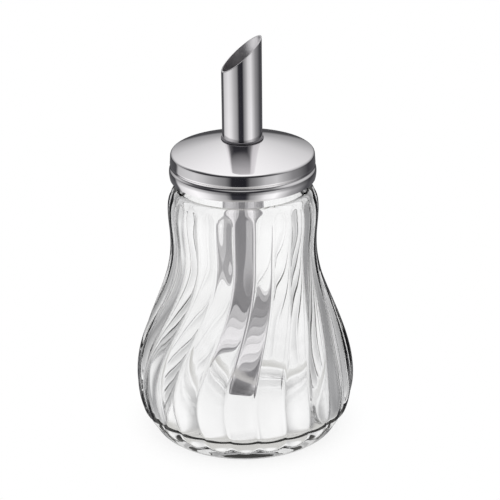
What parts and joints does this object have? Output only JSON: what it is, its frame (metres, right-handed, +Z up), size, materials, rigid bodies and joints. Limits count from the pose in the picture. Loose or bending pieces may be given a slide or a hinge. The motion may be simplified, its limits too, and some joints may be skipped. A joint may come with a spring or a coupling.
{
  "type": "sugar pourer jar",
  "caption": "Swirled, lobed glass jar with a polished steel screw cap and a slanted steel pouring tube that reaches down to the floor to meter out sugar.",
  "frame": {"origin": "centre of the foot ring, on the surface the jar stands on", "axes": "+Z up along the jar's axis, +X towards the tip of the slanted spout, so the mouth opens towards -X, -Y towards the front"},
  "size_m": [0.0844, 0.0844, 0.1555],
  "materials": {
    "clear_glass": "clear, polished",
    "white_liner": "matt soft plastic",
    "polished_steel": "polished stainless steel"
  },
  "bodies": {
    "jar": {"glass_jar": "clear_glass"},
    "seal": {"cap_liner": "white_liner"},
    "collar": {"tube_collar": "polished_steel"},
    "lid": {"screw_cap": "polished_steel", "pour_tube": "polished_steel"}
  },
  "joints": [
    {"name": "lid_lift_off", "type": "slide", "parent": "jar", "child": "seal", "axis": [0, 0, 1], "range_m": [0, 0.105]},
    {"name": "cap_rise", "type": "slide", "parent": "seal", "child": "collar", "axis": [0, 0, 1], "range_m": [0, 0.00375]},
    {"name": "cap_turn", "type": "hinge", "parent": "collar", "child": "lid", "pos_m": [0, 0, 0.107], "axis": [0, 0, 1], "range_deg": [0, 450]}
  ],
  "couplings": [
    {"joint": "cap_rise", "follows": "cap_turn", "m_per_rad": 0.00047746}
  ]
}
